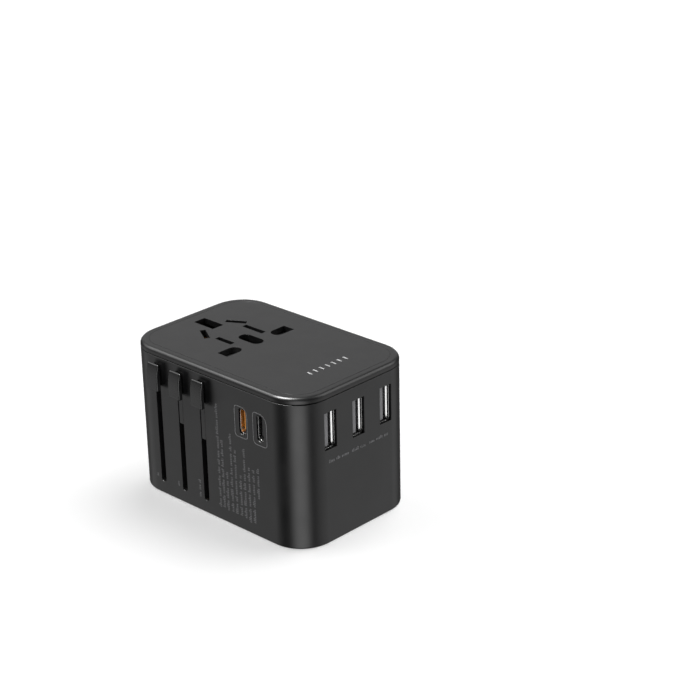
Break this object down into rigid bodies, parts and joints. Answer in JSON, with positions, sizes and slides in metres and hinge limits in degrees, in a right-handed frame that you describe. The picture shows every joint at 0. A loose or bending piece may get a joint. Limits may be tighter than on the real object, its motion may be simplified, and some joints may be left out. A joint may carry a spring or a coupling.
{
  "type": "universal travel adapter",
  "caption": "Pocket travel adapter block: a world socket on one face, slide-out European, British and turning American or Australian plugs on the other, and USB ports.",
  "frame": {"origin": "middle of the footprint, knobs included, on the plug face", "axes": "+Z from the plug face to the socket face, +X to the end with the USB-A ports, -Y to the side with the slider knobs"},
  "size_m": [0.078, 0.0542, 0.051],
  "materials": {
    "matte_casing": "fine matt texture, dark grey",
    "matte_face": "fine matt texture, dark grey",
    "inner_plastic": "matt black",
    "port_plastic": "satin black",
    "orange_plastic": "satin orange",
    "nickel_plate": "bright nickel plate on brass",
    "contact_brass": "bright",
    "port_steel": "bright, nickel plated",
    "screw_steel": "zinc plated",
    "fuse_ceramic": "glazed white tube",
    "circuit_board": "green solder mask",
    "transformer_tape": "yellow winding tape",
    "capacitor_sleeve": "shrink sleeve"
  },
  "bodies": {
    "casing": {"main_shell": "matte_casing", "top_cover": "matte_casing", "socket_plate": "matte_face", "contact_carrier": "inner_plastic", "live_contact": "contact_brass", "neutral_contact": "contact_brass", "earth_contact": "contact_brass", "shutter_spring": "screw_steel", "guide_frame": "inner_plastic", "fuse_cradle": "inner_plastic", "fuse_clip_low": "contact_brass", "fuse_clip_high": "contact_brass", "charger_board": "circuit_board", "port_board": "circuit_board", "transformer": "transformer_tape", "capacitor_1": "capacitor_sleeve", "capacitor_2": "capacitor_sleeve", "usb_a_shell_1": "port_steel", "usb_a_shell_2": "port_steel", "usb_a_shell_3": "port_steel", "usb_a_tongue_1": "port_plastic", "usb_a_tongue_2": "port_plastic", "usb_a_tongue_3": "port_plastic", "usb_c_shell_1": "port_steel", "usb_c_shell_2": "port_steel", "usb_c_tongue_1": "orange_plastic", "usb_c_tongue_2": "port_plastic", "cover_screw_1": "screw_steel", "cover_screw_2": "screw_steel", "cover_screw_3": "screw_steel", "cover_screw_4": "screw_steel", "frame_screw_1": "screw_steel", "frame_screw_2": "screw_steel", "frame_screw_3": "screw_steel"},
    "socket_shutter": {"shutter": "inner_plastic"},
    "eu_slider": {"eu_knob": "matte_casing", "eu_carrier": "inner_plastic", "eu_pin_1": "nickel_plate", "eu_pin_2": "nickel_plate"},
    "eu_plug": {"eu_plug_body": "matte_casing"},
    "uk_slider": {"uk_knob": "matte_casing", "uk_carrier": "inner_plastic", "uk_neutral_pin": "nickel_plate", "uk_live_pin": "nickel_plate", "uk_earth_pin": "nickel_plate"},
    "us_slider": {"us_knob": "matte_casing", "us_carrier": "inner_plastic", "us_carrier_cap": "inner_plastic"},
    "us_blade_live": {"us_blade_1": "nickel_plate"},
    "us_blade_neutral": {"us_blade_2": "nickel_plate"},
    "fuse_drawer": {"fuse_door": "matte_casing", "fuse": "fuse_ceramic"}
  },
  "joints": [
    {"name": "shutter_slide", "type": "slide", "parent": "casing", "child": "socket_shutter", "axis": [1, 0, 0], "range_m": [0, 0.0056], "stiffness_N_per_m": 80, "springref_m": -0.003, "deforming": ["shutter_spring"]},
    {"name": "eu_slide", "type": "slide", "parent": "casing", "child": "eu_slider", "axis": [0, 0, -1], "range_m": [0, 0.0325]},
    {"name": "eu_body_slide", "type": "slide", "parent": "casing", "child": "eu_plug", "axis": [0, 0, -1], "range_m": [0, 0.013]},
    {"name": "uk_slide", "type": "slide", "parent": "casing", "child": "uk_slider", "axis": [0, 0, -1], "range_m": [0, 0.023]},
    {"name": "us_slide", "type": "slide", "parent": "casing", "child": "us_slider", "axis": [0, 0, -1], "range_m": [0, 0.0205]},
    {"name": "us_live_turn", "type": "hinge", "parent": "us_slider", "child": "us_blade_live", "pos_m": [-0.0025, -0.00495, 0.0255], "axis": [0, 0, -1], "range_deg": [0, 30]},
    {"name": "us_neutral_turn", "type": "hinge", "parent": "us_slider", "child": "us_blade_neutral", "pos_m": [-0.0025, 0.00775, 0.0255], "axis": [0, 0, 1], "range_deg": [0, 30]},
    {"name": "fuse_slide", "type": "slide", "parent": "casing", "child": "fuse_drawer", "axis": [0, 0, -1], "range_m": [0, 0.022]}
  ],
  "couplings": [
    {"joint": "eu_body_slide", "follows": "eu_slide", "ratio": 0.4}
  ]
}
